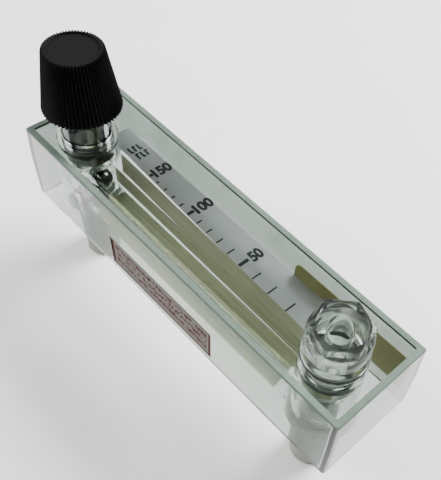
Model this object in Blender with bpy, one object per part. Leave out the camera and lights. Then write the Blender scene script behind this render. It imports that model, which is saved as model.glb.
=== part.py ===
"""Clear-bodied panel flowmeter with a metering valve, lying on its two rear port fittings.

A clear case, open at the back, holds a clear flow body: two upright bosses joined by a bar with
a tapered square bore. Gas enters the rear fitting under the plug, lifts the float ball along the bore,
passes the needle and leaves by the other rear fitting. The scale plate lies beside the bar.

Frame: metres, +Z out of the front face, +Y towards the knob, +X to the side with the scale.
The origin is at the centre of the bounding box, on the plane of the fittings' open ends.
"""

import math

import bmesh
import bpy
from mathutils import Matrix, Vector

# Clear case
CASE_LENGTH = 0.150
CASE_WIDTH = 0.0388
CASE_DEPTH = 0.0306
CASE_WALL = 0.0020
CASE_DRAFT = 0.00025
CASE_PARTING = 0.0145
CASE_EDGE = 0.0004
CORNER_RADIUS = 0.0010
HOLLOW_CORNER_RADIUS = 0.0006
FIT_GAP = 0.0003
LABEL_GAP = 0.0001

# Axes and levels
PORT_LENGTH = 0.0304
FRONT_Z = PORT_LENGTH + CASE_DEPTH
AXIS_X = -0.0033
TUBE_X = -0.0050
VALVE_Y = 0.0615
PLUG_Y = -0.0582

# Flow body: bosses, bar and bores
BOSS_RADIUS = 0.0104
BAR_TOP = -0.0115
BAR_BOTTOM = -0.0255
BAR_LEFT = -0.0113
BAR_RIGHT = (0.0020, 0.0052)
BAR_EDGE = 0.0008
SPIGOT_BORE_RADIUS = 0.0086
SPIGOT_BORE_DEPTH = 0.0113
CHAMBER_RADIUS = 0.0060
CHAMBER_DEPTH = 0.0225
SEAT_POCKET_RADIUS = 0.0045
SEAT_POCKET_DEPTH = 0.0245
PASSAGE_RADIUS = 0.0024
SOCKET_RADIUS = 0.0052
SOCKET_DEPTH = 0.0257

# Tapered metering bore and float
TUBE_DEPTH = 0.0175
TUBE_NARROW_HALF = 0.0041
TUBE_WIDE_HALF = 0.0046
FLOAT_RADIUS = 0.00375
FLOAT_REST_Y = 0.0530
UPPER_STOP_Y = 0.0558
LOWER_STOP_Y = -0.0517
STOP_LENGTH = 0.0010
STOP_WALL = 0.0010

# Valve
BONNET_RADIUS = 0.0083
BONNET_TOP = 0.0125
BONNET_BOTTOM = -0.0103
BONNET_BORE_RADIUS = 0.0033
GLAND_RADIUS = 0.0054
GLAND_FLOOR = 0.0005
GLAND_RING_LENGTH = 0.0018
STEM_RADIUS = 0.0026
STEM_TOP = 0.0285
COLLAR_RADIUS = 0.0047
COLLAR_BOTTOM = 0.0030
COLLAR_TOP = 0.0080
THREAD_PITCH = 0.0008
THREAD_HEIGHT = 0.0004
THREAD_TURNS = 7
THREAD_BOTTOM = -0.0095
NEEDLE_SHANK_RADIUS = 0.0023
NEEDLE_TOP = -0.0206
NEEDLE_TIP = -0.0256
ORIFICE_RADIUS = 0.00175

# Knob
KNOB_BASE = 0.0108
KNOB_HEIGHT = 0.0222
KNOB_TOP_RADIUS = 0.0099
KNOB_BASE_RADIUS = 0.0134
KNOB_FLUTES = 60
KNOB_FLUTE_DEPTH = 0.0010
KNOB_SKIRT_RADIUS = 0.0094
KNOB_CEILING = 0.0180
INSERT_RADIUS = 0.0042
INSERT_BORE_RADIUS = 0.0029
SET_SCREW_RADIUS = 0.0013
SET_SCREW_HEIGHT = 0.0225

# Plug
PLUG_FOOT_RADIUS = 0.0105
PLUG_BODY_RADIUS = 0.0100
PLUG_SHOULDER = 0.0130
PLUG_HEX_TOP = 0.0160
PLUG_HEX_RADIUS = 0.0096
PLUG_HEX_TURN = math.radians(13.5)
PLUG_RECESS_RADIUS = 0.0074
PLUG_RECESS_FLOOR = 0.0040
PLUG_POST_RADIUS = 0.00395
PLUG_POST_TOP = 0.0147

# Rear fittings
PORT_RADIUS = 0.0071
PORT_BORE_RADIUS = 0.0044
PORT_SPIGOT_RADIUS = 0.0049

# Scale plate
SCALE_TOP_Y = 0.0670
SCALE_BOTTOM_Y = -0.0450
SCALE_LOW_EDGES = (0.0034, 0.0166)
SCALE_HIGH_EDGES = (0.0084, 0.0166)
SCALE_LEVEL = -0.0150
SCALE_THICKNESS = 0.0006

# O-rings and their grooves
BONNET_ORING_MINOR = 0.0009
BONNET_ORING_MAJOR = 0.0076
BONNET_ORING_LEVELS = (-0.0063, -0.0034)
GROOVE_WIDTH = 0.0022
GROOVE_FLOOR = 0.0066
PORT_ORING_MINOR = 0.0006
PORT_ORING_MAJOR = 0.00455
PORT_GROOVE_FLOOR = 0.0038
PORT_GROOVE_WIDTH = 0.0015
PORT_ORING_LEVEL = -0.0283
FACE_ORING_MINOR = 0.00075
FACE_ORING_MAJOR = 0.0095
FACE_ORING_LEVEL = 0.0019
PLUG_ORING_LEVEL = -0.0066
STEM_ORING_MINOR = 0.00085
STEM_ORING_MAJOR = 0.0043
STEM_GROOVE_FLOOR = 0.0034
STEM_GROOVE_WIDTH = 0.0022

# Reflector and labels
REFLECTOR_WIDTH = 0.0128
REFLECTOR_X = -0.0045
REFLECTOR_Y = 0.0020
REFLECTOR_LENGTH = 0.0940
FILM_THICKNESS = 0.0002
SIDE_LABEL_LENGTH = 0.0510
SIDE_LABEL_HEIGHT = 0.0135
SIDE_LABEL_Y = 0.0024
SIDE_LABEL_LEVEL = -0.0216
TAPE_TOP = -0.0085
TAPE_BOTTOM = -0.0240
TAPE_HIGH_Y = -0.0232
TAPE_CORNER = 0.0030

# Facets in a turn
FINE = 48
COARSE = 32


def clear_scene():
    """Remove every object of the open scene."""
    for obj in list(bpy.data.objects):
        bpy.data.objects.remove(obj, do_unlink=True)


def material(name, colour, roughness, metallic=0.0, transmission=0.0):
    """Return a Principled material."""
    made = bpy.data.materials.new(name)
    made.use_nodes = True
    shader = made.node_tree.nodes["Principled BSDF"]
    shader.inputs["Base Color"].default_value = (*colour, 1.0)
    shader.inputs["Roughness"].default_value = roughness
    shader.inputs["Metallic"].default_value = metallic
    shader.inputs["Transmission Weight"].default_value = transmission
    shader.inputs["IOR"].default_value = 1.49
    return made


def front(height):
    """Return the world height of a point that far out of the front face."""
    return FRONT_Z + height


def add_object(name, bm, place=(0.0, 0.0, 0.0), finish=None, smooth=True):
    """Turn a bmesh into a named object at a place."""
    bmesh.ops.recalc_face_normals(bm, faces=bm.faces)
    mesh = bpy.data.meshes.new(name)
    bm.to_mesh(mesh)
    bm.free()
    obj = bpy.data.objects.new(name, mesh)
    obj.location = place
    bpy.context.scene.collection.objects.link(obj)
    if smooth:
        mesh.shade_smooth()
        mesh.set_sharp_from_angle(angle=math.radians(35))
    if finish is not None:
        mesh.materials.append(finish)
    return obj


def ring_of_verts(bm, radius, height, segments):
    """Return one ring of a turned shape, or its single point on the axis."""
    if radius == 0.0:
        return [bm.verts.new((0.0, 0.0, height))]
    turns = (2 * math.pi * step / segments for step in range(segments))
    return [bm.verts.new((radius * math.cos(a), radius * math.sin(a), height)) for a in turns]


def join_rings(bm, lower, upper):
    """Bridge two neighbouring rings of a turned shape."""
    count = max(len(lower), len(upper))
    for step in range(count):
        after = (step + 1) % count
        if len(lower) == 1:
            bm.faces.new((lower[0], upper[after], upper[step]))
        elif len(upper) == 1:
            bm.faces.new((lower[step], lower[after], upper[0]))
        else:
            bm.faces.new((lower[step], lower[after], upper[after], upper[step]))


def turned(profile, segments=FINE):
    """Spin a (radius, height) profile about Z. Without axis points it closes on itself."""
    bm = bmesh.new()
    rings = [ring_of_verts(bm, radius, height, segments) for radius, height in profile]
    for lower, upper in zip(rings, rings[1:]):
        join_rings(bm, lower, upper)
    if len(rings[0]) > 1:
        join_rings(bm, rings[-1], rings[0])
    return bm


def box(size):
    """Return a box centred on the origin."""
    bm = bmesh.new()
    bmesh.ops.create_cube(bm, size=1.0)
    bmesh.ops.scale(bm, vec=Vector(size), verts=bm.verts)
    return bm


def prism(outline, bottom, top):
    """Extrude a flat (x, y) outline between two heights."""
    bm = bmesh.new()
    base = bm.faces.new([bm.verts.new((x, y, bottom)) for x, y in outline])
    raised = bmesh.ops.extrude_face_region(bm, geom=[base])
    verts = [item for item in raised["geom"] if isinstance(item, bmesh.types.BMVert)]
    bmesh.ops.translate(bm, vec=(0.0, 0.0, top - bottom), verts=verts)
    return bm


def cutter(name, bm, place=(0.0, 0.0, 0.0)):
    """Add a solid that only cuts or joins others."""
    obj = add_object(name, bm, place, smooth=False)
    obj.hide_render = True
    obj.display_type = "WIRE"
    return obj


def combine(obj, tool, operation="DIFFERENCE"):
    """Apply one Boolean step with an exact solver."""
    step = obj.modifiers.new(f"{operation.lower()} {tool.name}", "BOOLEAN")
    step.operation = operation
    step.solver = "EXACT"
    step.object = tool


def along_y(bm):
    """Turn a shape that was spun about Z so that its axis is Y."""
    bmesh.ops.rotate(bm, matrix=Matrix.Rotation(-math.pi / 2, 3, "X"), verts=bm.verts)
    return bm


def torus_profile(major, minor, points=8):
    """Return the round section of an O-ring."""
    turns = (2 * math.pi * (step + 0.5) / points for step in range(points))
    return [(major + minor * math.cos(a), minor * math.sin(a)) for a in turns]


def oring(name, major, minor, place, finish):
    """Add an O-ring about Z."""
    return add_object(name, turned(torus_profile(major, minor), COARSE), place, finish)


def tube_half_width(y):
    """Return half the width of the tapered bore at one place along it."""
    share = (y - PLUG_Y) / (VALVE_Y - PLUG_Y)
    return TUBE_NARROW_HALF + share * (TUBE_WIDE_HALF - TUBE_NARROW_HALF)


def rounded_rectangle(half_x, half_y, radius, steps=4):
    """Return the outline of a rectangle with rounded corners."""
    outline = []
    for corner in range(4):
        centre_x = (half_x - radius) * (1 if corner in (0, 3) else -1)
        centre_y = (half_y - radius) * (1 if corner in (0, 1) else -1)
        for step in range(steps + 1):
            angle = math.pi / 2 * (corner + step / steps)
            outline.append((centre_x + radius * math.cos(angle), centre_y + radius * math.sin(angle)))
    return outline


def lofted(levels, radius):
    """Stack rounded rectangles, each (height, half width, half length), into one solid."""
    bm = bmesh.new()
    rings = []
    for height, half_x, half_y in levels:
        outline = rounded_rectangle(half_x, half_y, radius)
        rings.append([bm.verts.new((x, y, height)) for x, y in outline])
    for lower, upper in zip(rings, rings[1:]):
        join_rings(bm, lower, upper)
    bm.faces.new(rings[0])
    bm.faces.new(rings[-1])
    return bm


def case_levels(inset, bottom, top):
    """Return the levels of the case's outside, or of its hollow, with draft to the parting line."""
    half_x = CASE_WIDTH / 2 - inset
    half_y = CASE_LENGTH / 2 - inset
    return [
        (bottom, half_x - CASE_DRAFT - CASE_EDGE, half_y - CASE_DRAFT - CASE_EDGE),
        (bottom + CASE_EDGE, half_x - CASE_DRAFT, half_y - CASE_DRAFT),
        (-CASE_PARTING, half_x, half_y),
        (top - CASE_EDGE, half_x - CASE_DRAFT, half_y - CASE_DRAFT),
        (top, half_x - CASE_DRAFT - CASE_EDGE, half_y - CASE_DRAFT - CASE_EDGE),
    ]


def case_shell(finish):
    """Add the clear case: a box open at the back, with holes for the valve and the plug."""
    body = add_object(
        "case_shell", lofted(case_levels(0.0, -CASE_DEPTH, 0.0), CORNER_RADIUS), (0.0, 0.0, FRONT_Z), finish
    )
    hollow = lofted(case_levels(CASE_WALL, -CASE_DEPTH * 1.1, -CASE_WALL), HOLLOW_CORNER_RADIUS)
    combine(body, cutter("case_hollow_cutter", hollow, (0.0, 0.0, FRONT_Z)))
    reach = CASE_WALL * 1.5
    profile = [(0.0, -reach), (SPIGOT_BORE_RADIUS, -reach), (SPIGOT_BORE_RADIUS, reach), (0.0, reach)]
    for name, y in (("valve_hole_cutter", VALVE_Y), ("plug_hole_cutter", PLUG_Y)):
        combine(body, cutter(name, turned(profile), (AXIS_X, y, FRONT_Z)))
    depth = 2 * (CASE_DRAFT + FILM_THICKNESS + 2 * LABEL_GAP)
    recess = box((depth, SIDE_LABEL_LENGTH + 2 * FIT_GAP, SIDE_LABEL_HEIGHT + 2 * FIT_GAP))
    place = (-CASE_WIDTH / 2, SIDE_LABEL_Y, front(SIDE_LABEL_LEVEL))
    combine(body, cutter("side_label_cutter", recess, place))
    return body


def boss(name, y):
    """Return an upright boss that is joined to the bar."""
    top = -CASE_WALL - FIT_GAP
    profile = [(0.0, -CASE_DEPTH), (BOSS_RADIUS, -CASE_DEPTH), (BOSS_RADIUS, top), (0.0, top)]
    return cutter(name, turned(profile), (AXIS_X, y, FRONT_Z))


def passage_profile(steps):
    """Return a stepped bore from the boss's top to its bottom, through (radius, depth) steps."""
    profile = [(0.0, 0.0), (SPIGOT_BORE_RADIUS, 0.0), (SPIGOT_BORE_RADIUS, -SPIGOT_BORE_DEPTH)]
    level = -SPIGOT_BORE_DEPTH
    for radius, depth in steps:
        profile += [(radius, level), (radius, -depth)]
        level = -depth
    return profile + [(0.0, level)]


def metering_bore_cutter():
    """Return the tapered square bore, which ends just inside both chambers."""
    overlap = CHAMBER_RADIUS - 4 * FIT_GAP
    bm = bmesh.new()
    ends = []
    for y in (PLUG_Y + overlap, VALVE_Y - overlap):
        half = tube_half_width(y)
        corners = ((-half, -half), (half, -half), (half, half), (-half, half))
        ends.append([bm.verts.new((x, y, z)) for x, z in corners])
    join_rings(bm, *ends)
    for end in ends:
        bm.faces.new(end)
    return cutter("metering_bore_cutter", bm, (TUBE_X, 0.0, front(-TUBE_DEPTH)))


def bar():
    """Return the bar between the bosses, wider towards the knob, with eased long edges."""
    low, high = BAR_RIGHT
    outline = [(BAR_LEFT, PLUG_Y), (low, PLUG_Y), (high, VALVE_Y), (BAR_LEFT, VALVE_Y)]
    bm = prism(outline, front(BAR_BOTTOM), front(BAR_TOP))
    long_edges = [e for e in bm.edges if abs(e.verts[0].co.y - e.verts[1].co.y) > BOSS_RADIUS]
    bmesh.ops.bevel(bm, geom=long_edges, offset=BAR_EDGE, segments=2, profile=0.5, affect="EDGES")
    return bm


def flow_body(finish):
    """Add the flow body: bar and bosses in one, with the tapered bore and both stepped passages."""
    body = add_object("flow_body", bar(), finish=finish)
    combine(body, boss("valve_boss", VALVE_Y), "UNION")
    combine(body, boss("plug_boss", PLUG_Y), "UNION")
    ends = [(PASSAGE_RADIUS, SOCKET_DEPTH), (SOCKET_RADIUS, CASE_DEPTH + FIT_GAP)]
    valve_steps = [(CHAMBER_RADIUS, CHAMBER_DEPTH), (SEAT_POCKET_RADIUS, SEAT_POCKET_DEPTH)] + ends
    inlet_steps = [(CHAMBER_RADIUS, SEAT_POCKET_DEPTH)] + ends
    bores = cutter("valve_bores", turned(passage_profile(valve_steps)), (AXIS_X, VALVE_Y, FRONT_Z))
    inlet = cutter("inlet_bores", turned(passage_profile(inlet_steps)), (AXIS_X, PLUG_Y, FRONT_Z))
    combine(bores, metering_bore_cutter(), "UNION")
    combine(bores, inlet, "UNION")
    combine(body, bores)
    return body


def scale_outline():
    """Return the scale plate's outline, whose left edge follows the bar."""
    left_low, right_low = SCALE_LOW_EDGES
    left_high, right_high = SCALE_HIGH_EDGES
    return [
        (left_low, SCALE_BOTTOM_Y),
        (right_low, SCALE_BOTTOM_Y),
        (right_high, SCALE_TOP_Y),
        (left_high, SCALE_TOP_Y),
    ]


def scale_plate(finish):
    """Add the brushed scale plate beside the bar."""
    top = front(SCALE_LEVEL)
    return add_object("scale_plate", prism(scale_outline(), top - SCALE_THICKNESS, top), finish=finish)


def reflector_strip(finish):
    """Add the striped reflector on the back of the bar, behind the bore."""
    shape = box((REFLECTOR_WIDTH, REFLECTOR_LENGTH, FILM_THICKNESS))
    place = (REFLECTOR_X, REFLECTOR_Y, front(BAR_BOTTOM) - LABEL_GAP - FILM_THICKNESS / 2)
    return add_object("reflector_strip", shape, place, finish, smooth=False)


def side_label(finish):
    """Add the label in its shallow recess in the left face of the case."""
    shape = box((FILM_THICKNESS, SIDE_LABEL_LENGTH, SIDE_LABEL_HEIGHT))
    sink = CASE_DRAFT + LABEL_GAP + FILM_THICKNESS / 2
    place = (-CASE_WIDTH / 2 + sink, SIDE_LABEL_Y, front(SIDE_LABEL_LEVEL))
    return add_object("side_label", shape, place, finish, smooth=False)


def edge_tape(finish):
    """Add the tape inside the right wall near the plug, with rounded upper corners."""
    low_y = -CASE_LENGTH / 2 + CASE_WALL + 6 * FIT_GAP
    corners = [(TAPE_TOP - TAPE_CORNER, 0.0), (TAPE_BOTTOM + TAPE_CORNER, math.pi / 2)]
    outline = [(TAPE_BOTTOM, low_y), (TAPE_TOP, low_y)]
    for centre, start in corners:
        for step in range(5):
            angle = start + math.pi / 2 * step / 4
            along = TAPE_HIGH_Y - TAPE_CORNER + TAPE_CORNER * math.sin(angle)
            outline.append((centre + TAPE_CORNER * math.cos(angle), along))
    right = CASE_WIDTH / 2 - CASE_WALL - CASE_DRAFT - LABEL_GAP
    bm = prism(outline, right - FILM_THICKNESS, right)
    bmesh.ops.rotate(bm, matrix=Matrix(((0, 0, 1), (0, 1, 0), (1, 0, 0))), verts=bm.verts)
    return add_object("edge_tape", bm, (0.0, 0.0, FRONT_Z), finish)


def float_ball(finish):
    """Add the float ball, with its origin on the bore's axis."""
    bm = bmesh.new()
    bmesh.ops.create_uvsphere(bm, u_segments=24, v_segments=14, radius=FLOAT_RADIUS)
    return add_object("float_ball", bm, (TUBE_X, FLOAT_REST_Y, front(-TUBE_DEPTH)), finish)


def float_stop(name, y, finish):
    """Add a ring in the bore that the float can't pass."""
    outer = tube_half_width(y) - FIT_GAP
    inner = outer - STOP_WALL
    half = STOP_LENGTH / 2
    shape = along_y(turned([(inner, -half), (outer, -half), (outer, half), (inner, half)], COARSE))
    return add_object(name, shape, (TUBE_X, y, front(-TUBE_DEPTH)), finish)


def groove(radius, floor, centre, width):
    """Return the four outline points of an O-ring groove, from its lower lip to its upper lip."""
    low = centre - width / 2
    high = centre + width / 2
    return [(radius, low), (floor, low), (floor, high), (radius, high)]


def valve_bonnet(finish):
    """Add the bonnet that guides the stem, with two seal grooves and a gland."""
    chamfer = 0.0005
    profile = [(BONNET_RADIUS, BONNET_BOTTOM)]
    for level in BONNET_ORING_LEVELS:
        profile += groove(BONNET_RADIUS, GROOVE_FLOOR, level, GROOVE_WIDTH)
    profile += [
        (BONNET_RADIUS, BONNET_TOP - chamfer),
        (BONNET_RADIUS - chamfer, BONNET_TOP),
        (GLAND_RADIUS, BONNET_TOP),
        (GLAND_RADIUS, GLAND_FLOOR),
        (BONNET_BORE_RADIUS, GLAND_FLOOR),
        (BONNET_BORE_RADIUS, BONNET_BOTTOM),
    ]
    return add_object("valve_bonnet", turned(profile), (AXIS_X, VALVE_Y, FRONT_Z), finish)


def bonnet_orings(finish):
    """Add the two seals of the bonnet."""
    for name, level in zip(("bonnet_oring_lower", "bonnet_oring_upper"), BONNET_ORING_LEVELS):
        place = (AXIS_X, VALVE_Y, front(level))
        oring(name, BONNET_ORING_MAJOR, BONNET_ORING_MINOR, place, finish)


def stem_seal(finish):
    """Add the seal in the stem's collar, which travels with the stem but needn't turn."""
    place = (AXIS_X, VALVE_Y, front((COLLAR_BOTTOM + COLLAR_TOP) / 2))
    return oring("stem_oring", STEM_ORING_MAJOR, STEM_ORING_MINOR, place, finish)


def gland_ring(finish):
    """Add the ring that keeps the stem's collar in the bonnet."""
    outer = GLAND_RADIUS - FIT_GAP
    inner = STEM_RADIUS + 2 * FIT_GAP
    top = BONNET_TOP - FIT_GAP
    bottom = top - GLAND_RING_LENGTH
    profile = [(inner, bottom), (outer, bottom), (outer, top), (inner, top)]
    return add_object("gland_ring", turned(profile, COARSE), (AXIS_X, VALVE_Y, FRONT_Z), finish)


def valve_seat(finish):
    """Add the seat that the needle closes."""
    outer = SEAT_POCKET_RADIUS - FIT_GAP
    bottom = -SEAT_POCKET_DEPTH + FIT_GAP
    top = -CHAMBER_DEPTH - FIT_GAP
    lead = 0.0004
    profile = [
        (ORIFICE_RADIUS, bottom),
        (outer, bottom),
        (outer, top),
        (ORIFICE_RADIUS + lead, top),
        (ORIFICE_RADIUS, top - lead),
    ]
    return add_object("valve_seat", turned(profile, COARSE), (AXIS_X, VALVE_Y, FRONT_Z), finish)


def thread_rings(bm, segments):
    """Return the rings of the stem's helical thread, whose crest climbs one pitch a turn."""
    steps = 4
    rings = []
    for level in range(THREAD_TURNS * steps + 1):
        height = THREAD_BOTTOM + level * THREAD_PITCH / steps
        fade = min(1.0, level / steps, (THREAD_TURNS * steps - level) / steps)
        ring = []
        for step in range(segments):
            phase = (level / steps - step / segments) % 1.0
            crest = (1.0 - abs(2.0 * phase - 1.0)) * THREAD_HEIGHT * fade
            radius = STEM_RADIUS - THREAD_HEIGHT / 4 + crest
            angle = 2 * math.pi * step / segments
            ring.append(bm.verts.new((radius * math.cos(angle), radius * math.sin(angle), height)))
        rings.append(ring)
    return rings


def valve_stem(finish):
    """Add the stem: needle, threaded length, sealing collar and plain shank in one piece."""
    segments = 24
    bm = bmesh.new()
    lower = [
        (0.0, NEEDLE_TIP),
        (0.0005, NEEDLE_TIP),
        (ORIFICE_RADIUS, NEEDLE_TOP),
        (NEEDLE_SHANK_RADIUS, NEEDLE_TOP),
        (NEEDLE_SHANK_RADIUS, THREAD_BOTTOM - 2 * FIT_GAP),
    ]
    thread_top = THREAD_BOTTOM + THREAD_TURNS * THREAD_PITCH
    chamfer = 0.0004
    upper = [(STEM_RADIUS, thread_top + 2 * FIT_GAP), (STEM_RADIUS, COLLAR_BOTTOM)]
    upper += [(COLLAR_RADIUS, COLLAR_BOTTOM)]
    middle = (COLLAR_BOTTOM + COLLAR_TOP) / 2
    upper += groove(COLLAR_RADIUS, STEM_GROOVE_FLOOR, middle, STEM_GROOVE_WIDTH)
    upper += [
        (COLLAR_RADIUS, COLLAR_TOP),
        (STEM_RADIUS, COLLAR_TOP),
        (STEM_RADIUS, STEM_TOP - chamfer),
        (STEM_RADIUS - chamfer, STEM_TOP),
        (0.0, STEM_TOP),
    ]
    rings = [ring_of_verts(bm, radius, height, segments) for radius, height in lower]
    rings += thread_rings(bm, segments)
    rings += [ring_of_verts(bm, radius, height, segments) for radius, height in upper]
    for below, above in zip(rings, rings[1:]):
        join_rings(bm, below, above)
    return add_object("valve_stem", bm, (AXIS_X, VALVE_Y, FRONT_Z), finish)


def fluted_ring(bm, radius, height, depth):
    """Return one ring of the knob's grip, with a crest and a root for each flute."""
    ring = []
    count = KNOB_FLUTES * 2
    for step in range(count):
        angle = 2 * math.pi * step / count
        inset = depth if step % 2 == 0 else 0.0
        reach = radius - inset
        ring.append(bm.verts.new((reach * math.cos(angle), reach * math.sin(angle), height)))
    return ring


def knob(finish):
    """Add the fluted conical knob: hollow skirt, bored hub and a shallow dished top."""
    bm = bmesh.new()
    count = KNOB_FLUTES * 2
    top = KNOB_BASE + KNOB_HEIGHT
    edge = 0.0006
    slope = (KNOB_BASE_RADIUS - KNOB_TOP_RADIUS) / KNOB_HEIGHT
    hub_top = STEM_TOP + 3 * FIT_GAP
    rings = [
        ring_of_verts(bm, KNOB_SKIRT_RADIUS, KNOB_BASE, count),
        fluted_ring(bm, KNOB_BASE_RADIUS - edge / 4, KNOB_BASE, KNOB_FLUTE_DEPTH),
        fluted_ring(bm, KNOB_BASE_RADIUS, KNOB_BASE + edge / 2, KNOB_FLUTE_DEPTH),
        fluted_ring(bm, KNOB_BASE_RADIUS - slope * 3 * edge, KNOB_BASE + 3 * edge, KNOB_FLUTE_DEPTH),
        fluted_ring(bm, KNOB_TOP_RADIUS + slope * edge, top - edge, KNOB_FLUTE_DEPTH),
        fluted_ring(bm, KNOB_TOP_RADIUS - edge / 4, top, KNOB_FLUTE_DEPTH),
        ring_of_verts(bm, KNOB_TOP_RADIUS - 2.5 * edge, top, count),
        ring_of_verts(bm, KNOB_TOP_RADIUS - 3.0 * edge, top - edge, count),
        ring_of_verts(bm, 0.0, top - edge, count),
    ]
    inner = [
        (0.0, hub_top),
        (INSERT_RADIUS + FIT_GAP, hub_top),
        (INSERT_RADIUS + FIT_GAP, KNOB_CEILING),
        (KNOB_SKIRT_RADIUS - 2 * edge, KNOB_CEILING),
    ]
    hollow = [ring_of_verts(bm, radius, height, count) for radius, height in inner]
    for below, above in zip(rings, rings[1:]):
        join_rings(bm, below, above)
    for below, above in zip(hollow, hollow[1:]):
        join_rings(bm, below, above)
    join_rings(bm, hollow[-1], rings[0])
    body = add_object("knob", bm, (AXIS_X, VALVE_Y, FRONT_Z), finish)
    combine(body, set_screw_hole("knob_screw_cutter"))
    return body


def set_screw_hole(name):
    """Return a cutter for the set screw's hole, which opens on the +Y side of the knob."""
    radius = SET_SCREW_RADIUS + FIT_GAP
    profile = [(0.0, 0.0), (radius, 0.0), (radius, KNOB_BASE_RADIUS * 1.2), (0.0, KNOB_BASE_RADIUS * 1.2)]
    place = (AXIS_X, VALVE_Y, front(SET_SCREW_HEIGHT))
    return cutter(name, along_y(turned(profile, 16)), place)


def knob_insert(finish):
    """Add the metal sleeve moulded into the knob's hub."""
    bottom = KNOB_CEILING + FIT_GAP
    profile = [
        (INSERT_BORE_RADIUS, bottom),
        (INSERT_RADIUS, bottom),
        (INSERT_RADIUS, STEM_TOP),
        (INSERT_BORE_RADIUS, STEM_TOP),
    ]
    sleeve = add_object("knob_insert", turned(profile, COARSE), (AXIS_X, VALVE_Y, FRONT_Z), finish)
    combine(sleeve, set_screw_hole("insert_screw_cutter"))
    return sleeve


def knob_set_screw(finish):
    """Add the headless screw that clamps the knob to the stem, with a hexagon socket."""
    start = STEM_RADIUS + FIT_GAP
    end = KNOB_TOP_RADIUS
    profile = [
        (0.0, start),
        (SET_SCREW_RADIUS * 0.6, start),
        (SET_SCREW_RADIUS, start + SET_SCREW_RADIUS * 0.4),
        (SET_SCREW_RADIUS, end),
        (0.0, end),
    ]
    place = (AXIS_X, VALVE_Y, front(SET_SCREW_HEIGHT))
    screw = add_object("knob_set_screw", along_y(turned(profile, 16)), place, finish)
    depth = 0.0020
    radius = SET_SCREW_RADIUS * 0.55
    socket = [(0.0, end - depth), (radius, end - depth), (radius, end + depth), (0.0, end + depth)]
    combine(screw, cutter("screw_socket_cutter", along_y(turned(socket, 6)), place))
    return screw


def plug_body(finish):
    """Add the clear plug: sealed shank, flanged foot, hexagon head, ring recess and centre post."""
    bottom = BONNET_BOTTOM
    pocket_top = -0.0045
    pocket_radius = 0.0040
    floor = FACE_ORING_MAJOR - FACE_ORING_MINOR - LABEL_GAP
    profile = [(0.0, pocket_top), (pocket_radius, pocket_top), (pocket_radius, bottom)]
    profile += [(BONNET_RADIUS, bottom)]
    profile += groove(BONNET_RADIUS, GROOVE_FLOOR, PLUG_ORING_LEVEL, GROOVE_WIDTH)
    profile += [(BONNET_RADIUS, FIT_GAP), (PLUG_FOOT_RADIUS, FIT_GAP), (PLUG_FOOT_RADIUS, 0.0008)]
    profile += groove(PLUG_BODY_RADIUS, floor, FACE_ORING_LEVEL, 0.0017)
    profile += [
        (PLUG_BODY_RADIUS, 0.0052),
        (0.0098, 0.0057),
        (0.0097, 0.0122),
        (0.0095, 0.0127),
        (0.0089, PLUG_SHOULDER),
        (0.0, PLUG_SHOULDER),
    ]
    place = (AXIS_X, PLUG_Y, FRONT_Z)
    plug = add_object("plug_body", turned(profile), place, finish)
    corners = [PLUG_HEX_TURN + math.pi * step / 3 for step in range(6)]
    outline = [(PLUG_HEX_RADIUS * math.cos(a), PLUG_HEX_RADIUS * math.sin(a)) for a in corners]
    head = prism(outline, PLUG_SHOULDER - 4 * FIT_GAP, PLUG_HEX_TOP)
    combine(plug, cutter("plug_head", head, place), "UNION")
    above = PLUG_HEX_TOP + 0.001
    recess = [
        (0.0, PLUG_POST_TOP),
        (PLUG_POST_RADIUS, PLUG_POST_TOP),
        (PLUG_POST_RADIUS, PLUG_RECESS_FLOOR),
        (PLUG_RECESS_RADIUS, PLUG_RECESS_FLOOR),
        (PLUG_RECESS_RADIUS, above),
        (0.0, above),
    ]
    combine(plug, cutter("plug_recess_cutter", turned(recess), place))
    return plug


def plug_orings(finish):
    """Add the plug's face seal above the case and its shank seal inside the bore."""
    place = (AXIS_X, PLUG_Y, front(FACE_ORING_LEVEL))
    oring("plug_face_oring", FACE_ORING_MAJOR, FACE_ORING_MINOR, place, finish)
    place = (AXIS_X, PLUG_Y, front(PLUG_ORING_LEVEL))
    oring("plug_shank_oring", BONNET_ORING_MAJOR, BONNET_ORING_MINOR, place, finish)


def port_fitting(name, y, finish):
    """Add a rear fitting: an open pipe with a shoulder and a grooved spigot in its boss."""
    shoulder = -CASE_DEPTH - FIT_GAP
    spigot_top = -SOCKET_DEPTH - FIT_GAP
    throat = PASSAGE_RADIUS + FIT_GAP
    chamfer = 0.0005
    profile = [
        (PORT_BORE_RADIUS + chamfer, -FRONT_Z),
        (PORT_RADIUS - chamfer, -FRONT_Z),
        (PORT_RADIUS, -FRONT_Z + chamfer),
        (PORT_RADIUS, shoulder),
        (PORT_SPIGOT_RADIUS, shoulder),
    ]
    profile += groove(PORT_SPIGOT_RADIUS, PORT_GROOVE_FLOOR, PORT_ORING_LEVEL, PORT_GROOVE_WIDTH)
    profile += [
        (PORT_SPIGOT_RADIUS, spigot_top),
        (throat, spigot_top),
        (throat, shoulder - 2 * FIT_GAP),
        (PORT_BORE_RADIUS, shoulder - 2 * FIT_GAP - chamfer),
        (PORT_BORE_RADIUS, -FRONT_Z + chamfer),
    ]
    return add_object(name, turned(profile), (AXIS_X, y, FRONT_Z), finish)


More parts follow.
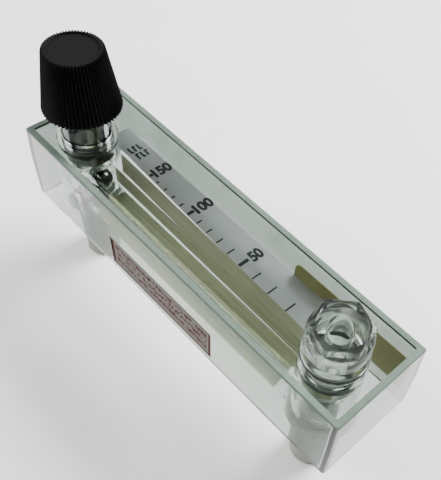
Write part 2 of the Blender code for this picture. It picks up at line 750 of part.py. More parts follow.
def build():
    """Build every sub-part."""
    clear_scene()
    clear = material("clear_acrylic", (0.86, 0.92, 0.88), 0.03, transmission=1.0)
    rubber = material("black_rubber", (0.015, 0.015, 0.015), 0.55)
    black = material("black_plastic", (0.012, 0.012, 0.013), 0.45)
    steel = material("polished_steel", (0.55, 0.56, 0.56), 0.15, metallic=1.0)
    brass = material("brass", (0.72, 0.55, 0.26), 0.30, metallic=1.0)
    silver = material("brushed_aluminium", (0.68, 0.68, 0.68), 0.35, metallic=0.8)
    yellow = material("yellow_green_film", (0.52, 0.56, 0.22), 0.50)
    olive = material("olive_tape", (0.24, 0.24, 0.07), 0.50)
    pale = material("white_plastic", (0.62, 0.63, 0.60), 0.50)
    red = material("red_bordered_label", (0.80, 0.55, 0.53), 0.45)
    grey = material("grey_plastic", (0.36, 0.37, 0.34), 0.35)
    case_shell(clear)
    flow_body(clear)
    scale_plate(silver)
    reflector_strip(yellow)
    side_label(red)
    edge_tape(olive)
    float_ball(steel)
    float_stop("upper_float_stop", UPPER_STOP_Y, pale)
    float_stop("lower_float_stop", LOWER_STOP_Y, pale)
    valve_bonnet(steel)
    bonnet_orings(rubber)
    stem_seal(rubber)
    gland_ring(brass)
    valve_seat(brass)
    valve_stem(steel)
    knob(black)
    knob_insert(brass)
    knob_set_screw(steel)
    plug_body(clear)
    plug_orings(rubber)
    for name, y in (("outlet", VALVE_Y), ("inlet", PLUG_Y)):
        port_fitting(f"{name}_fitting", y, grey)
        place = (AXIS_X, y, front(PORT_ORING_LEVEL))
        oring(f"{name}_fitting_oring", PORT_ORING_MAJOR, PORT_ORING_MINOR, place, rubber)


build()
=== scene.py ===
import math

import bmesh
import bpy
from mathutils import Matrix, Vector


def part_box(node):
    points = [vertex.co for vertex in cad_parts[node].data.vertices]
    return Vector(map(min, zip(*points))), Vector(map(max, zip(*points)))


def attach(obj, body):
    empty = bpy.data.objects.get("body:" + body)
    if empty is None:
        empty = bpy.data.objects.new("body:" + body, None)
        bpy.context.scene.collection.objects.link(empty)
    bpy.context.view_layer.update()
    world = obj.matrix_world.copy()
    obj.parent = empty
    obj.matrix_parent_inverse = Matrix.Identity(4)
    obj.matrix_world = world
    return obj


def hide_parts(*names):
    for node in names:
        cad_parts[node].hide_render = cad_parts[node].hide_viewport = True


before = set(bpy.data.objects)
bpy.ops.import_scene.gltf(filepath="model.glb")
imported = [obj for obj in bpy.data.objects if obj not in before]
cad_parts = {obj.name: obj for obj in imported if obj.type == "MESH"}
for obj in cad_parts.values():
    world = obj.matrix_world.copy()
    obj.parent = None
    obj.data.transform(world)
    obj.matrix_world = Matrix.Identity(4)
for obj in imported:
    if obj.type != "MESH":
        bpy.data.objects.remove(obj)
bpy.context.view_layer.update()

# Camera, in metres and degrees
CAMERA_PLACE = (-0.0964, -0.1132, 0.2349)
CAMERA_TARGET = (0.0197, -0.0233, 0.0450)
CAMERA_ROLL = math.radians(9.77)
CAMERA_LENS = 53.8
CAMERA_SHIFT = (-0.1656, 0.0688)

# The clear parts, in metres; levels are measured from the case's front face
FRONT_Z = 0.061
AXIS_X = -0.0033
VALVE_Y = 0.0615
PLUG_Y = -0.0582
CASE_HALF_X = 0.0194
CASE_HALF_Y = 0.0750
CASE_DEPTH = 0.0306
CASE_WALL = 0.0020
CASE_DRAFT = 0.00025
CASE_EDGE = 0.0004
CASE_PARTING = 0.0145
CASE_CORNER = 0.0010
HOLLOW_CORNER = 0.0006
HOLLOW_EDGE = 0.0002
# Width of the front rim band that is painted in dark green shade
RIM_SHADE_BAND = 0.0025
BAR_LEFT = -0.0113
BAR_RIGHT = (0.0020, 0.0052)
BAR_TOP = -0.0115
BAR_BOTTOM = -0.0255
BAR_EDGE = 0.0008
BOSS_RADIUS = 0.0104
BOSS_TOP = -0.0023
SPIGOT_RADIUS = 0.0086
SPIGOT_FLOOR = -0.0113
CHAMBER_RADIUS = 0.0060
CHAMBER_FLOOR = -0.0225
SEAT_RADIUS = 0.0045
SEAT_FLOOR = -0.0245
PASSAGE_RADIUS = 0.0024
SOCKET_RADIUS = 0.0052
SOCKET_TOP = -0.0257
TUBE_X = -0.0050
TUBE_LEVEL = -0.0175
TUBE_INSET = 0.0048
TUBE_HALF_WIDTHS = (0.00412, 0.00458)
ORING_MAJOR = 0.0078
ORING_MINOR = 0.0010
ORING_STEPS = 16
FINE = 96
CUT_SPARE = 0.0003

# The plug's outline, as radii and levels
PLUG_SHANK_RADIUS = 0.0083
PLUG_SHANK_END = -0.0103
PLUG_HOLLOW_RADIUS = 0.0040
PLUG_HOLLOW_TOP = -0.0045
PLUG_GROOVE = (0.0066, -0.0077, -0.0055)
PLUG_FOOT_RADIUS = 0.0105
PLUG_FOOT_BASE = 0.0003
PLUG_RADIUS = 0.0100
PLUG_WAIST = (0.00865, 0.00105, 0.00275)
PLUG_RECESS = (0.00395, 0.0074, 0.0040, 0.0147)
PLUG_HEX_RADIUS = 0.0096
PLUG_HEX_LEVELS = (0.0118, 0.0160)
PLUG_HEX_TURN = math.radians(13.5)

# The printed label and scale
ROOT = "body"
INK_THICKNESS = 0.00006
INK_GAP = 0.00002
LABEL_BORDER = 0.0010
LABEL_MARGIN = 0.0018
LABEL_ROW = 0.0030
LABEL_ROW_FILL = 0.74
LABEL_INK_LEVEL = 0.475
SCALE_START_Y = -0.0634
SCALE_STEP = 0.005204
SCALE_POWER = 0.6
MAJORS = (150, 100, 50)
MINORS = (140, 130, 120, 110, 90, 80, 70, 60, 40, 30, 20)
MARK_LEFT = (0.0055, 0.046)
MARK_RIGHT = (0.0086, -0.008)
MAJOR_EXTRA = 0.0006
MAJOR_WIDTH = 0.0013
MINOR_WIDTH = 0.0006
NUMBER_HEIGHT = 0.0046
NUMBER_DIGIT = 0.00255
NUMBER_LEFT = {150: 0.0090, 100: 0.0094, 50: 0.0100}
HEADING_ROWS = ((0.0092, 0.0563), (0.0098, 0.0523))
HEADING_PITCH = 0.0019

# The body colour of the clear plastic
CLEAR_TONE = (0.68, 0.71, 0.69)

RUBBER_NODES = (
    "bonnet_oring_upper",
    "bonnet_oring_lower",
    "stem_oring",
    "plug_face_oring",
    "plug_shank_oring",
    "inlet_fitting_oring",
    "outlet_fitting_oring",
)


# ---------------------------------------------------------------- node helpers


def new_material(name):
    """Return a material, its node tree and its Principled shader."""
    made = bpy.data.materials.new(name)
    made.use_nodes = True
    tree = made.node_tree
    return made, tree, tree.nodes["Principled BSDF"]


def add(tree, kind, links=None, **values):
    """Add a node, set its inputs and link sockets into it."""
    made = tree.nodes.new(kind)
    for name, value in values.items():
        setattr(made, name, value)
    for name, source in (links or {}).items():
        target = made.inputs[name]
        if isinstance(source, bpy.types.NodeSocket):
            tree.links.new(source, target)
        else:
            target.default_value = source
    return made


def place_coords(tree, scale):
    """Return coordinates in metres in the object's own frame, scaled."""
    coords = add(tree, "ShaderNodeTexCoord")
    links = {"Vector": coords.outputs["Object"], "Scale": scale}
    return add(tree, "ShaderNodeMapping", links).outputs["Vector"]


def noise(tree, scale, detail=4.0, stretch=(1.0, 1.0, 1.0), roughness=0.55):
    """Return a noise value in 0 to 1."""
    links = {
        "Vector": place_coords(tree, stretch),
        "Scale": scale,
        "Detail": detail,
        "Roughness": roughness,
    }
    return add(tree, "ShaderNodeTexNoise", links).outputs["Fac"]


def spread(tree, value, low, high, start=0.3, end=0.7):
    """Map a value from start..end to low..high."""
    made = add(
        tree,
        "ShaderNodeMapRange",
        {"Value": value, "From Min": start, "From Max": end, "To Min": low, "To Max": high},
    )
    return made.outputs["Result"]


def tint(tree, value, dark, light):
    """Blend two colours by a value."""
    made = add(tree, "ShaderNodeMix", data_type="RGBA")
    tree.links.new(value, made.inputs["Factor"])
    colours = [socket for socket in made.inputs if socket.type == "RGBA"]
    colours[0].default_value = (*dark, 1.0)
    colours[1].default_value = (*light, 1.0)
    return next(socket for socket in made.outputs if socket.type == "RGBA")


def bump(tree, shader, height, strength, distance):
    """Raise the surface by a height value."""
    made = add(tree, "ShaderNodeBump", {"Height": height, "Strength": strength, "Distance": distance})
    tree.links.new(made.outputs["Normal"], shader.inputs["Normal"])


def finish(tree, shader, colour, roughness):
    """Give the shader its colour and roughness."""
    tree.links.new(colour, shader.inputs["Base Color"])
    tree.links.new(roughness, shader.inputs["Roughness"])


# ---------------------------------------------------------------- materials


def clear_plastic(name, dark, light, density, wave, rough, ior):
    """Clear moulded plastic: faint waviness, handling haze and a green body colour.

    Rays from lamps pass straight through, so that what stands inside is lit.
    """
    made, tree, shader = new_material(name)
    shader.inputs["IOR"].default_value = ior
    shader.inputs["Transmission Weight"].default_value = 1.0
    haze = noise(tree, 90.0, 6.0)
    finish(tree, shader, tint(tree, haze, dark, light), spread(tree, haze, *rough))
    bump(tree, shader, noise(tree, 45.0, 2.0), wave, 0.0004)
    depth = {"Color": (*CLEAR_TONE, 1.0), "Density": density}
    body = add(tree, "ShaderNodeVolumeAbsorption", depth)
    output = tree.nodes["Material Output"]
    tree.links.new(body.outputs["Volume"], output.inputs["Volume"])
    through = add(tree, "ShaderNodeBsdfTransparent", {"Color": (0.94, 0.95, 0.94, 1.0)})
    paths = add(tree, "ShaderNodeLightPath")
    blend = add(tree, "ShaderNodeMixShader")
    tree.links.new(paths.outputs["Is Shadow Ray"], blend.inputs[0])
    tree.links.new(shader.outputs["BSDF"], blend.inputs[1])
    tree.links.new(through.outputs["BSDF"], blend.inputs[2])
    tree.links.new(blend.outputs["Shader"], output.inputs["Surface"])
    return made


def brushed_metal():
    """Silver scale plate, brushed lengthwise."""
    made, tree, shader = new_material("brushed_scale")
    shader.inputs["Metallic"].default_value = 0.65
    streaks = noise(tree, 900.0, 5.0, (1.0, 0.03, 1.0), 0.7)
    clouds = noise(tree, 60.0, 4.0)
    colour = tint(tree, clouds, (0.36, 0.345, 0.37), (0.54, 0.52, 0.55))
    finish(tree, shader, colour, spread(tree, streaks, 0.30, 0.5))
    bump(tree, shader, streaks, 0.25, 0.0001)
    return made


def printed_ink():
    """Black print with slightly uneven gloss."""
    made, tree, shader = new_material("scale_ink")
    patches = noise(tree, 700.0)
    shader.inputs["Specular IOR Level"].default_value = 0.2
    colour = tint(tree, patches, (0.002, 0.002, 0.002), (0.008, 0.008, 0.009))
    finish(tree, shader, colour, spread(tree, patches, 0.45, 0.7))
    return made


def reflector_film():
    """Yellow-green film; its fine lengthwise light and dark stripes are painted streaks of light refracted
    through the bore.
    """
    made, tree, shader = new_material("reflector_film")
    refraction_streaks = noise(tree, 1400.0, 3.0, (1.0, 0.01, 0.6), 0.6)
    # Painted refraction streaks: the stripes lighten and darken the film's own yellow-green
    colour = tint(tree, spread(tree, refraction_streaks, 0.0, 1.0), (0.56, 0.50, 0.31), (0.95, 0.87, 0.62))
    finish(tree, shader, colour, spread(tree, refraction_streaks, 0.35, 0.6))
    return made


def speckled(
    name, dark, light, rough, scale=300.0, metallic=0.0, strength=0.2, specular=0.5
):
    """A plain surface with fine grain in its colour, gloss and height."""
    made, tree, shader = new_material(name)
    shader.inputs["Metallic"].default_value = metallic
    shader.inputs["Specular IOR Level"].default_value = specular
    grain = noise(tree, scale, 5.0)
    finish(tree, shader, tint(tree, grain, dark, light), spread(tree, grain, *rough))
    bump(tree, shader, grain, strength, 0.0001)
    return made


def math_node(tree, operation, first, second=None):
    """Return the result of one arithmetic step on sockets or numbers."""
    made = add(tree, "ShaderNodeMath", operation=operation)
    for index, source in enumerate((first, second)):
        if isinstance(source, bpy.types.NodeSocket):
            tree.links.new(source, made.inputs[index])
        elif source is not None:
            made.inputs[index].default_value = source
    return made.outputs[0]


def label_reach(tree, split):
    """Return, for the label's length and height, the distance from its centre and its half size."""
    low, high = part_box("side_label")
    reaches = []
    for axis, start, end in (("Y", low.y, high.y), ("Z", low.z, high.z)):
        offset = math_node(tree, "SUBTRACT", split.outputs[axis], (start + end) / 2)
        reaches.append((math_node(tree, "ABSOLUTE", offset), (end - start) / 2))
    return reaches


def label_dashes(tree, split):
    """Return 1 where one of the label's meaningless dashes lies, in rows."""
    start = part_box("side_label")[0].z
    rows = math_node(tree, "DIVIDE", math_node(tree, "SUBTRACT", split.outputs["Z"], start), LABEL_ROW)
    on_row = math_node(tree, "LESS_THAN", math_node(tree, "FRACT", rows), LABEL_ROW_FILL)
    place = {
        "X": math_node(tree, "MULTIPLY", split.outputs["Y"], 760.0),
        "Y": math_node(tree, "MULTIPLY", math_node(tree, "FLOOR", rows), 7.3),
        "Z": math_node(tree, "MULTIPLY", split.outputs["Z"], 380.0),
    }
    spot = add(tree, "ShaderNodeCombineXYZ", place)
    links = {"Vector": spot.outputs["Vector"], "Scale": 1.9, "Detail": 1.0}
    strokes = add(tree, "ShaderNodeTexNoise", links)
    dashes = math_node(tree, "GREATER_THAN", strokes.outputs["Fac"], LABEL_INK_LEVEL)
    return math_node(tree, "MULTIPLY", on_row, dashes)


def side_label_print():
    """Pale film with a red border and rows of meaningless red dashes."""
    made, tree, shader = new_material("side_label_print")
    shader.inputs["Specular IOR Level"].default_value = 0.05
    coords = add(tree, "ShaderNodeTexCoord")
    split = add(tree, "ShaderNodeSeparateXYZ", {"Vector": coords.outputs["Object"]})
    reaches = label_reach(tree, split)
    edges = [math_node(tree, "GREATER_THAN", r, half - LABEL_BORDER) for r, half in reaches]
    clear = [math_node(tree, "LESS_THAN", r, half - LABEL_MARGIN) for r, half in reaches]
    border = math_node(tree, "MAXIMUM", *edges)
    inside = math_node(tree, "MINIMUM", *clear)
    rows = math_node(tree, "MULTIPLY", label_dashes(tree, split), inside)
    ink = math_node(tree, "MAXIMUM", border, rows)
    colour = tint(tree, ink, (0.17, 0.162, 0.145), (0.055, 0.0, 0.001))
    finish(tree, shader, colour, spread(tree, noise(tree, 500.0), 0.35, 0.5))
    return made


def paint(node, material):
    """Give a CAD node a material in each of its slots."""
    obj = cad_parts[node]
    if not obj.material_slots:
        obj.data.materials.append(material)
    for slot in obj.material_slots:
        slot.material = material


def opaque_finishes():
    """Return the finish of every node that isn't clear."""
    steel = speckled(
        "float_steel", (0.10, 0.10, 0.10), (0.32, 0.32, 0.32), (0.08, 0.2), 400.0, 1.0, 0.05
    )
    bonnet = speckled(
        "bonnet_steel", (0.16, 0.16, 0.16), (0.28, 0.28, 0.28), (0.06, 0.16), 500.0, 1.0, 0.05
    )
    stem = speckled(
        "stem_steel", (0.45, 0.45, 0.45), (0.62, 0.62, 0.61), (0.2, 0.4), 900.0, 1.0, 0.1
    )
    brass = speckled(
        "valve_brass", (0.55, 0.38, 0.15), (0.80, 0.62, 0.32), (0.2, 0.4), 700.0, 1.0, 0.1
    )
    knob = speckled(
        "knob_plastic",
        (0.002, 0.002, 0.002),
        (0.006, 0.006, 0.0065),
        (0.42, 0.65),
        1800.0,
        strength=0.4,
        specular=0.15,
    )
    stop = speckled("stop_plastic", (0.5, 0.5, 0.48), (0.7, 0.7, 0.66), (0.3, 0.5))
    port = speckled(
        "port_plastic", (0.22, 0.23, 0.20), (0.30, 0.31, 0.28), (0.25, 0.45), 200.0, strength=0.1
    )
    return {
        "valve_bonnet": bonnet,
        "float_ball": steel,
        "valve_stem": stem,
        "knob_set_screw": stem,
        "gland_ring": brass,
        "valve_seat": brass,
        "knob_insert": brass,
        "knob": knob,
        "upper_float_stop": stop,
        "lower_float_stop": stop,
        "inlet_fitting": port,
        "outlet_fitting": port,
        "edge_tape": speckled("olive_tape", (0.17, 0.155, 0.03), (0.31, 0.285, 0.085), (0.4, 0.6)),
        "scale_plate": brushed_metal(),
        "side_label": side_label_print(),
    }


def paint_frame():
    """Give every CAD node its finish and redraw the clear parts finely."""
    shell = clear_plastic(
        "clear_acrylic", (0.90, 0.93, 0.91), (0.96, 0.98, 0.965), 900.0, 0.03, (0.0, 0.03), 1.49
    )
    flow = clear_plastic(
        "clear_flow_body", (0.92, 0.95, 0.93), (0.98, 0.99, 0.98), 14.0, 0.03, (0.0, 0.03), 1.2
    )
    fitting = clear_plastic(
        "clear_fittings", (0.86, 0.91, 0.87), (0.95, 0.98, 0.96), 110.0, 0.05, (0.04, 0.12), 1.3
    )
    rubber = speckled(
        "seal_rubber", (0.008, 0.008, 0.008), (0.02, 0.02, 0.02), (0.35, 0.55), 1500.0
    )
    # Painted shade: dark green for the case's front rim band, standing in for the colour seen looking down
    # along the walls
    rim = speckled(
        "painted_rim_shade", (0.09, 0.13, 0.105), (0.17, 0.22, 0.185), (0.06, 0.16), 250.0, strength=0.05
    )
    film = reflector_film()
    finishes = opaque_finishes()
    finishes.update({name: rubber for name in RUBBER_NODES})
    finishes.update(
        {"case_shell": shell, "flow_body": flow, "plug_body": fitting, "reflector_strip": film}
    )
    for node, material in finishes.items():
        paint(node, material)
    fine_case(shell, rim)
    # The film's material also goes on the bar's side by the plate, as a painted reflection of the film seen
    # through the bar
    fine_flow_body(flow, film)
    fine_plug(fitting)
    fine_oring("bonnet_oring_upper", VALVE_Y, -0.0034, rubber)
    fine_oring("bonnet_oring_lower", VALVE_Y, -0.0063, rubber)
    fine_oring("plug_shank_oring", PLUG_Y, -0.0066, rubber)


# ---------------------------------------------------------------- clear parts, redrawn finely

def lathe(profile, segments=FINE):
    """Spin a profile of (radius, height) points about Z into a closed solid.

    The profile starts and ends on the axis, or else it is a closed loop off the axis.
    """
    bm = bmesh.new()
    rings = []
    for radius, height in profile:
        if radius == 0.0:
            rings.append([bm.verts.new((0.0, 0.0, height))])
            continue
        turns = [2 * math.pi * step / segments for step in range(segments)]
        rings.append([bm.verts.new((radius * math.cos(a), radius * math.sin(a), height)) for a in turns])
    pairs = list(zip(rings, rings[1:]))
    if profile[0][0] != 0.0:
        pairs.append((rings[-1], rings[0]))
    for lower, upper in pairs:
        for step in range(max(len(lower), len(upper))):
            after = (step + 1) % segments
            corners = []
            for vert in (
                lower[step % len(lower)],
                lower[after % len(lower)],
                upper[after % len(upper)],
                upper[step % len(upper)],
            ):
                if vert not in corners:
                    corners.append(vert)
            if len(corners) > 2:
                bm.faces.new(corners)
    return bm


def to_object(name, bm, place=(0.0, 0.0, 0.0)):
    """Turn a bmesh into an object at a place."""
    bmesh.ops.recalc_face_normals(bm, faces=bm.faces)
    mesh = bpy.data.meshes.new(name)
    bm.to_mesh(mesh)
    bm.free()
    obj = bpy.data.objects.new(name, mesh)
    obj.location = place
    bpy.context.scene.collection.objects.link(obj)
    return obj


def carve(obj, tools):
    """Apply Boolean steps, each (tool, operation), and bake the result in world coordinates."""
    for tool, operation in tools:
        step = obj.modifiers.new(tool.name, "BOOLEAN")
        step.operation = operation
        step.solver = "EXACT"
        step.object = tool
    bpy.context.view_layer.update()
    graph = bpy.context.evaluated_depsgraph_get()
    baked = bpy.data.meshes.new_from_object(obj.evaluated_get(graph))
    baked.transform(obj.matrix_world)
    name = obj.name
    for used in [obj] + [tool for tool, operation in tools]:
        bpy.data.objects.remove(used)
    made = bpy.data.objects.new(name, baked)
    bpy.context.scene.collection.objects.link(made)
    return made


def stand_for(obj, node, material, angle=25.0):
    """Show a finely drawn piece in place of a CAD node, in its own materials if it has any."""
    if not obj.data.materials:
        obj.data.materials.append(material)
    obj.data.shade_smooth()
    obj.data.set_sharp_from_angle(angle=math.radians(angle))
    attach(obj, ROOT)
    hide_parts(node)


def outline_prism(outline, bottom, top):
    """Raise an outline in X and Y into a solid."""
    bm = bmesh.new()
    face = bm.faces.new([bm.verts.new((x, y, bottom)) for x, y in outline])
    raised = bmesh.ops.extrude_face_region(bm, geom=[face])
    verts = [item for item in raised["geom"] if isinstance(item, bmesh.types.BMVert)]
    bmesh.ops.translate(bm, vec=(0.0, 0.0, top - bottom), verts=verts)
    return bm


def box_outline(left, right, front, back):
    """Return the corners of a rectangle in X and Y."""
    return [(left, front), (right, front), (right, back), (left, back)]


def case_ring(bm, inset, radius, depth, steps=6):
    """Return one level of the case, a rounded rectangle inset from its widest, as verts."""
    half_x = CASE_HALF_X - inset - radius
    half_y = CASE_HALF_Y - inset - radius
    ring = []
    for corner in range(4):
        centre_x = half_x * (1 if corner in (0, 3) else -1)
        centre_y = half_y * (1 if corner in (0, 1) else -1)
        for step in range(steps + 1):
            angle = math.pi / 2 * (corner + step / steps)
            x = centre_x + radius * math.cos(angle)
            y = centre_y + radius * math.sin(angle)
            ring.append(bm.verts.new((x, y, FRONT_Z - depth)))
    return ring


def case_mesh():
    """Return the hollow case, open at the back, with its front rim band in the second material, a painted
    dark green shade.
    """
    levels = (
        (CASE_WALL + CASE_DRAFT + HOLLOW_EDGE, HOLLOW_CORNER, CASE_WALL),
        (CASE_WALL + CASE_DRAFT, HOLLOW_CORNER, CASE_WALL + HOLLOW_EDGE),
        (CASE_WALL, HOLLOW_CORNER, CASE_PARTING),
        (CASE_WALL + HOLLOW_EDGE, HOLLOW_CORNER, CASE_DEPTH),
        (CASE_DRAFT + CASE_EDGE, CASE_CORNER, CASE_DEPTH),
        (CASE_DRAFT, CASE_CORNER, CASE_DEPTH - CASE_EDGE),
        (0.0, CASE_CORNER, CASE_PARTING),
        (CASE_DRAFT, CASE_CORNER, CASE_EDGE),
        (CASE_DRAFT + CASE_EDGE, CASE_CORNER, 0.0),
        (RIM_SHADE_BAND, HOLLOW_CORNER, 0.0),
    )
    bm = bmesh.new()
    chain = [case_ring(bm, *level) for level in levels]
    count = len(chain[0])
    first_shaded_level = len(chain) - 3
    for index, (lower, upper) in enumerate(zip(chain, chain[1:])):
        for step in range(count):
            after = (step + 1) % count
            face = bm.faces.new([lower[step], lower[after], upper[after], upper[step]])
            # Faces from the front chamfer inwards across the rim band take the painted rim shade
            face.material_index = int(index >= first_shaded_level)
    bm.faces.new(chain[0])
    bm.faces.new(chain[-1])
    return bm


def fine_case(material, rim_shade_material):
    """Redraw the case with a front rim band in painted dark green shade, which stands in for the depth of
    colour seen looking down along its walls.
    """
    shell = to_object("fine_case_shell", case_mesh())
    shell.data.materials.append(material)
    shell.data.materials.append(rim_shade_material)
    tools = []
    for name, y in (("valve", VALVE_Y), ("plug", PLUG_Y)):
        floor, top = -0.003, 0.001
        outline = [(0.0, floor), (SPIGOT_RADIUS, floor), (SPIGOT_RADIUS, top), (0.0, top)]
        tools.append((to_object(f"{name}_hole", lathe(outline), (AXIS_X, y, FRONT_Z)), "DIFFERENCE"))
    low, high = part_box("side_label")
    outline = box_outline(-0.021, low.x + CUT_SPARE, low.y - CUT_SPARE, high.y + CUT_SPARE)
    recess = outline_prism(outline, low.z - CUT_SPARE, high.z + CUT_SPARE)
    tools.append((to_object("label_recess", recess), "DIFFERENCE"))
    stand_for(carve(shell, tools), "case_shell", material)


def bar_mesh():
    """Return the flow body's bar, with the side by the plate in the second material, where the film's
    colour is a painted reflection of the film as seen through the bar.
    """
    outline = [
        (BAR_LEFT, PLUG_Y),
        (BAR_RIGHT[0], PLUG_Y),
        (BAR_RIGHT[1], VALVE_Y),
        (BAR_LEFT, VALVE_Y),
    ]
    bm = outline_prism(outline, FRONT_Z + BAR_BOTTOM, FRONT_Z + BAR_TOP)
    edges = [e for e in bm.edges if abs(e.verts[0].co.y - e.verts[1].co.y) > 0.05]
    bmesh.ops.bevel(bm, geom=edges, offset=BAR_EDGE, segments=4, profile=0.5, affect="EDGES")
    bm.normal_update()
    for face in bm.faces:
        # The side by the plate takes the film's colour: a painted reflection of the film as seen refracted
        # through the bar
        if abs(face.normal.x) > 0.95 and face.calc_center_median().x > 0.0:
            face.material_index = 1
    return bm


def taper_mesh():
    """Return the square bore, which widens towards the valve."""
    bm = bmesh.new()
    ends = []
    places = (PLUG_Y + TUBE_INSET, VALVE_Y - TUBE_INSET)
    for y, half in zip(places, TUBE_HALF_WIDTHS):
        corners = ((-half, -half), (half, -half), (half, half), (-half, half))
        ends.append([bm.verts.new((x, y, z)) for x, z in corners])
        bm.faces.new(ends[-1])
    for step in range(4):
        after = (step + 1) % 4
        bm.faces.new([ends[0][step], ends[0][after], ends[1][after], ends[1][step]])
    return bm


def body_bores():
    """Return both stepped bores and the tapered one, joined into one cutter."""
    top = [
        (0.0, 0.0),
        (SPIGOT_RADIUS, 0.0),
        (SPIGOT_RADIUS, SPIGOT_FLOOR),
        (CHAMBER_RADIUS, SPIGOT_FLOOR),
    ]
    seat = [
        (CHAMBER_RADIUS, CHAMBER_FLOOR),
        (SEAT_RADIUS, CHAMBER_FLOOR),
        (SEAT_RADIUS, SEAT_FLOOR),
    ]
    socket_end = -CASE_DEPTH - CUT_SPARE
    ends = [
        (PASSAGE_RADIUS, SEAT_FLOOR),
        (PASSAGE_RADIUS, SOCKET_TOP),
        (SOCKET_RADIUS, SOCKET_TOP),
        (SOCKET_RADIUS, socket_end),
        (0.0, socket_end),
    ]
    valve = lathe(top + seat + ends)
    inlet = lathe(top + [(CHAMBER_RADIUS, SEAT_FLOOR)] + ends)
    bores = to_object("bores", valve, (AXIS_X, VALVE_Y, FRONT_Z))
    joined = [
        (to_object("inlet_bores", inlet, (AXIS_X, PLUG_Y, FRONT_Z)), "UNION"),
        (to_object("taper_bore", taper_mesh(), (TUBE_X, 0.0, FRONT_Z + TUBE_LEVEL)), "UNION"),
    ]
    return carve(bores, joined)


def fine_flow_body(material, film_image_material):
    """Redraw the flow body with smooth bores, and with a painted reflection of the film, in the film's
    colour, on the side by the plate.
    """
    body = to_object("fine_flow_body", bar_mesh())
    body.data.materials.append(material)
    body.data.materials.append(film_image_material)
    floor = -CASE_DEPTH
    tools = []
    for name, y in (("valve", VALVE_Y), ("plug", PLUG_Y)):
        outline = [(0.0, floor), (BOSS_RADIUS, floor), (BOSS_RADIUS, BOSS_TOP), (0.0, BOSS_TOP)]
        tools.append((to_object(f"{name}_boss", lathe(outline), (AXIS_X, y, FRONT_Z)), "UNION"))
    tools.append((body_bores(), "DIFFERENCE"))
    stand_for(carve(body, tools), "flow_body", material)


def plug_profile():
    """Return the plug's turned outline below its hexagon head."""
    groove, groove_floor, groove_top = PLUG_GROOVE
    waist, waist_floor, waist_top = PLUG_WAIST
    shank = [
        (0.0, PLUG_HOLLOW_TOP),
        (PLUG_HOLLOW_RADIUS, PLUG_HOLLOW_TOP),
        (PLUG_HOLLOW_RADIUS, PLUG_SHANK_END),
        (PLUG_SHANK_RADIUS, PLUG_SHANK_END),
        (PLUG_SHANK_RADIUS, groove_floor),
        (groove, groove_floor),
        (groove, groove_top),
        (PLUG_SHANK_RADIUS, groove_top),
        (PLUG_SHANK_RADIUS, PLUG_FOOT_BASE),
    ]
    foot = [
        (PLUG_FOOT_RADIUS, PLUG_FOOT_BASE),
        (PLUG_FOOT_RADIUS, 0.0008),
        (PLUG_RADIUS, waist_floor),
        (waist, waist_floor),
        (waist, waist_top),
        (PLUG_RADIUS, waist_top),
    ]
    barrel = [
        (PLUG_RADIUS, 0.0052),
        (0.0098, 0.0057),
        (0.0097, 0.0122),
        (0.0095, 0.0127),
        (0.0089, 0.0130),
        (0.0, 0.0130),
    ]
    return shank + foot + barrel


def plug_head():
    """Return the plug's hexagon head with a softened rim."""
    corners = [PLUG_HEX_TURN + math.pi * step / 3 for step in range(6)]
    outline = [(PLUG_HEX_RADIUS * math.cos(a), PLUG_HEX_RADIUS * math.sin(a)) for a in corners]
    bm = outline_prism(outline, *PLUG_HEX_LEVELS)
    top = PLUG_HEX_LEVELS[1] - 0.0001
    rim = [e for e in bm.edges if min(v.co.z for v in e.verts) > top]
    bmesh.ops.bevel(bm, geom=rim, offset=0.0004, segments=3, profile=0.5, affect="EDGES")
    return bm


def fine_plug(material):
    """Redraw the clear plug with smooth turned faces round its centre post."""
    place = (AXIS_X, PLUG_Y, FRONT_Z)
    plug = to_object("fine_plug_body", lathe(plug_profile()), place)
    head = to_object("plug_head", plug_head(), place)
    post, wall, floor, post_top = PLUG_RECESS
    mouth = PLUG_HEX_LEVELS[1] + 0.0010
    outline = [(0.0, post_top), (post, post_top), (post, floor), (wall, floor), (wall, mouth), (0.0, mouth)]
    recess = to_object("plug_recess", lathe(outline), place)
    tools = [(head, "UNION"), (recess, "DIFFERENCE")]
    stand_for(carve(plug, tools), "plug_body", material)


def fine_oring(node, y, level, material):
    """Redraw an O-ring so that it presses into the bore's wall, as a fitted one does."""
    angles = [2 * math.pi * (step + 0.5) / ORING_STEPS for step in range(ORING_STEPS)]
    points = [
        (ORING_MAJOR + ORING_MINOR * math.cos(a), ORING_MINOR * math.sin(a)) for a in angles
    ]
    ring = to_object(f"fine_{node}", lathe(points), (AXIS_X, y, FRONT_Z + level))
    stand_for(ring, node, material, 80.0)


# ---------------------------------------------------------------- scale print

def scale_y(value):
    """Return where a flow value stands along the plate."""
    return SCALE_START_Y + SCALE_STEP * value**SCALE_POWER


def mark_end(line, y):
    """Return how far across a mark ends at a place along the plate."""
    start, slope = line
    return start + slope * y


def link(obj, material):
    """Put a new piece in the scene with its material, on the fixed body."""
    bpy.context.scene.collection.objects.link(obj)
    obj.data.materials.append(material)
    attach(obj, ROOT)
    return obj


def ink_bars(name, bars, top, ink):
    """Make one mesh of thin printed bars, each (left, right, y, width)."""
    bm = bmesh.new()
    for left, right, y, width in bars:
        low = top + INK_GAP
        corners = box_outline(left, right, y - width / 2, y + width / 2)
        face = bm.faces.new([bm.verts.new((x, v, low)) for x, v in corners])
        raised = bmesh.ops.extrude_face_region(bm, geom=[face])
        verts = [item for item in raised["geom"] if isinstance(item, bmesh.types.BMVert)]
        bmesh.ops.translate(bm, vec=(0.0, 0.0, INK_THICKNESS), verts=verts)
    bmesh.ops.recalc_face_normals(bm, faces=bm.faces)
    mesh = bpy.data.meshes.new(name)
    bm.to_mesh(mesh)
    bm.free()
    return link(bpy.data.objects.new(name, mesh), ink)


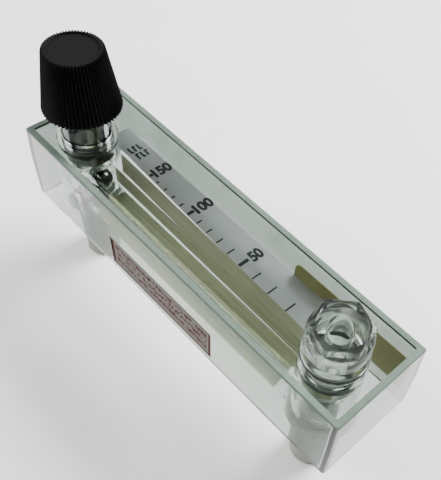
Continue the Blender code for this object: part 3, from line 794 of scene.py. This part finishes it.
def scale_number(value, left, top, ink):
    """Print one condensed number beside its mark, as a thin mesh."""
    name = f"scale_number_{value}"
    text = bpy.data.curves.new(name, "FONT")
    text.body = str(value)
    text.size = 1.0
    text.extrude = 0.01
    text.offset = 0.05
    typed = bpy.data.objects.new(name, text)
    mesh = bpy.data.meshes.new_from_object(typed)
    bpy.data.objects.remove(typed)
    spots = [vertex.co for vertex in mesh.vertices]
    low = Vector(min(spot[axis] for spot in spots) for axis in range(3))
    high = Vector(max(spot[axis] for spot in spots) for axis in range(3))
    width = NUMBER_DIGIT * len(str(value))
    for vertex in mesh.vertices:
        share = [(vertex.co[axis] - low[axis]) / (high[axis] - low[axis]) for axis in range(3)]
        vertex.co = (
            left + width * share[0],
            scale_y(value) + NUMBER_HEIGHT * (share[1] - 0.5),
            top + INK_GAP + INK_THICKNESS * share[2],
        )
    return link(bpy.data.objects.new(name, mesh), ink)


def heading_bars():
    """Return two rows of plain strokes that stand in for the heading."""
    bars = []
    for row, (left, y) in enumerate(HEADING_ROWS):
        for letter in range(3):
            start = left + letter * HEADING_PITCH
            side = 1 if (letter + row) % 2 else -1
            bars.append((start, start + 0.0008, y, 0.0032))
            bars.append((start + 0.00065, start + 0.0014, y + side * 0.0012, 0.0008))
    return bars


def print_scale():
    """Print marks, numbers and a generic heading on the scale plate."""
    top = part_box("scale_plate")[1].z
    ink = printed_ink()
    bars = []
    for value in MAJORS + MINORS:
        y = scale_y(value)
        major = value in MAJORS
        right = mark_end(MARK_RIGHT, y) + (MAJOR_EXTRA if major else 0.0)
        width = MAJOR_WIDTH if major else MINOR_WIDTH
        bars.append((mark_end(MARK_LEFT, y), right, y, width))
    ink_bars("scale_marks", bars, top, ink)
    for value, left in NUMBER_LEFT.items():
        scale_number(value, left, top, ink)
    ink_bars("scale_heading", heading_bars(), top, ink)


# ---------------------------------------------------------------- stage


def add_light(name, size, energy, place, target):
    """Add one soft square light aimed at a point."""
    data = bpy.data.lights.new(name, "AREA")
    data.shape = "SQUARE"
    data.size = size
    data.energy = energy
    obj = bpy.data.objects.new(name, data)
    obj.location = place
    obj.rotation_euler = (Vector(target) - Vector(place)).to_track_quat("-Z", "Y").to_euler()
    bpy.context.scene.collection.objects.link(obj)
    return obj


def build_stage():
    """Lay the pale floor, the soft light and the world."""
    bpy.ops.mesh.primitive_plane_add(size=6.0, location=(0.0, 0.0, 0.0))
    floor = bpy.context.object
    floor.name = "floor"
    made, tree, shader = new_material("pale_floor")
    grain = noise(tree, 30.0, 3.0)
    colour = tint(tree, grain, (0.92, 0.92, 0.92), (0.95, 0.95, 0.95))
    finish(tree, shader, colour, spread(tree, grain, 0.6, 0.7))
    floor.data.materials.append(made)
    world = bpy.data.worlds.new("studio")
    world.use_nodes = True
    background = world.node_tree.nodes["Background"]
    background.inputs["Color"].default_value = (1.0, 1.0, 1.0, 1.0)
    background.inputs["Strength"].default_value = 0.30
    bpy.context.scene.world = world
    add_light("key_light", 0.5, 34.0, (0.80, -0.15, 0.80), (0.0, 0.0, 0.03))
    add_light("fill_light", 0.5, 14.0, (-0.45, 0.70, 0.80), (0.0, 0.0, 0.03))


def add_camera():
    """Place the camera, turned a little about its own axis."""
    data = bpy.data.cameras.new("camera")
    data.lens = CAMERA_LENS
    data.shift_x, data.shift_y = CAMERA_SHIFT
    data.clip_start = 0.01
    data.clip_end = 20.0
    camera = bpy.data.objects.new("camera", data)
    aim = (Vector(CAMERA_TARGET) - Vector(CAMERA_PLACE)).to_track_quat("-Z", "Y").to_matrix()
    turn = Matrix.Rotation(CAMERA_ROLL, 3, "Z")
    camera.location = CAMERA_PLACE
    camera.rotation_euler = (aim @ turn).to_euler()
    bpy.context.scene.collection.objects.link(camera)
    bpy.context.scene.camera = camera


add_camera()
build_stage()
paint_frame()
print_scale()

bpy.context.view_layer.update()
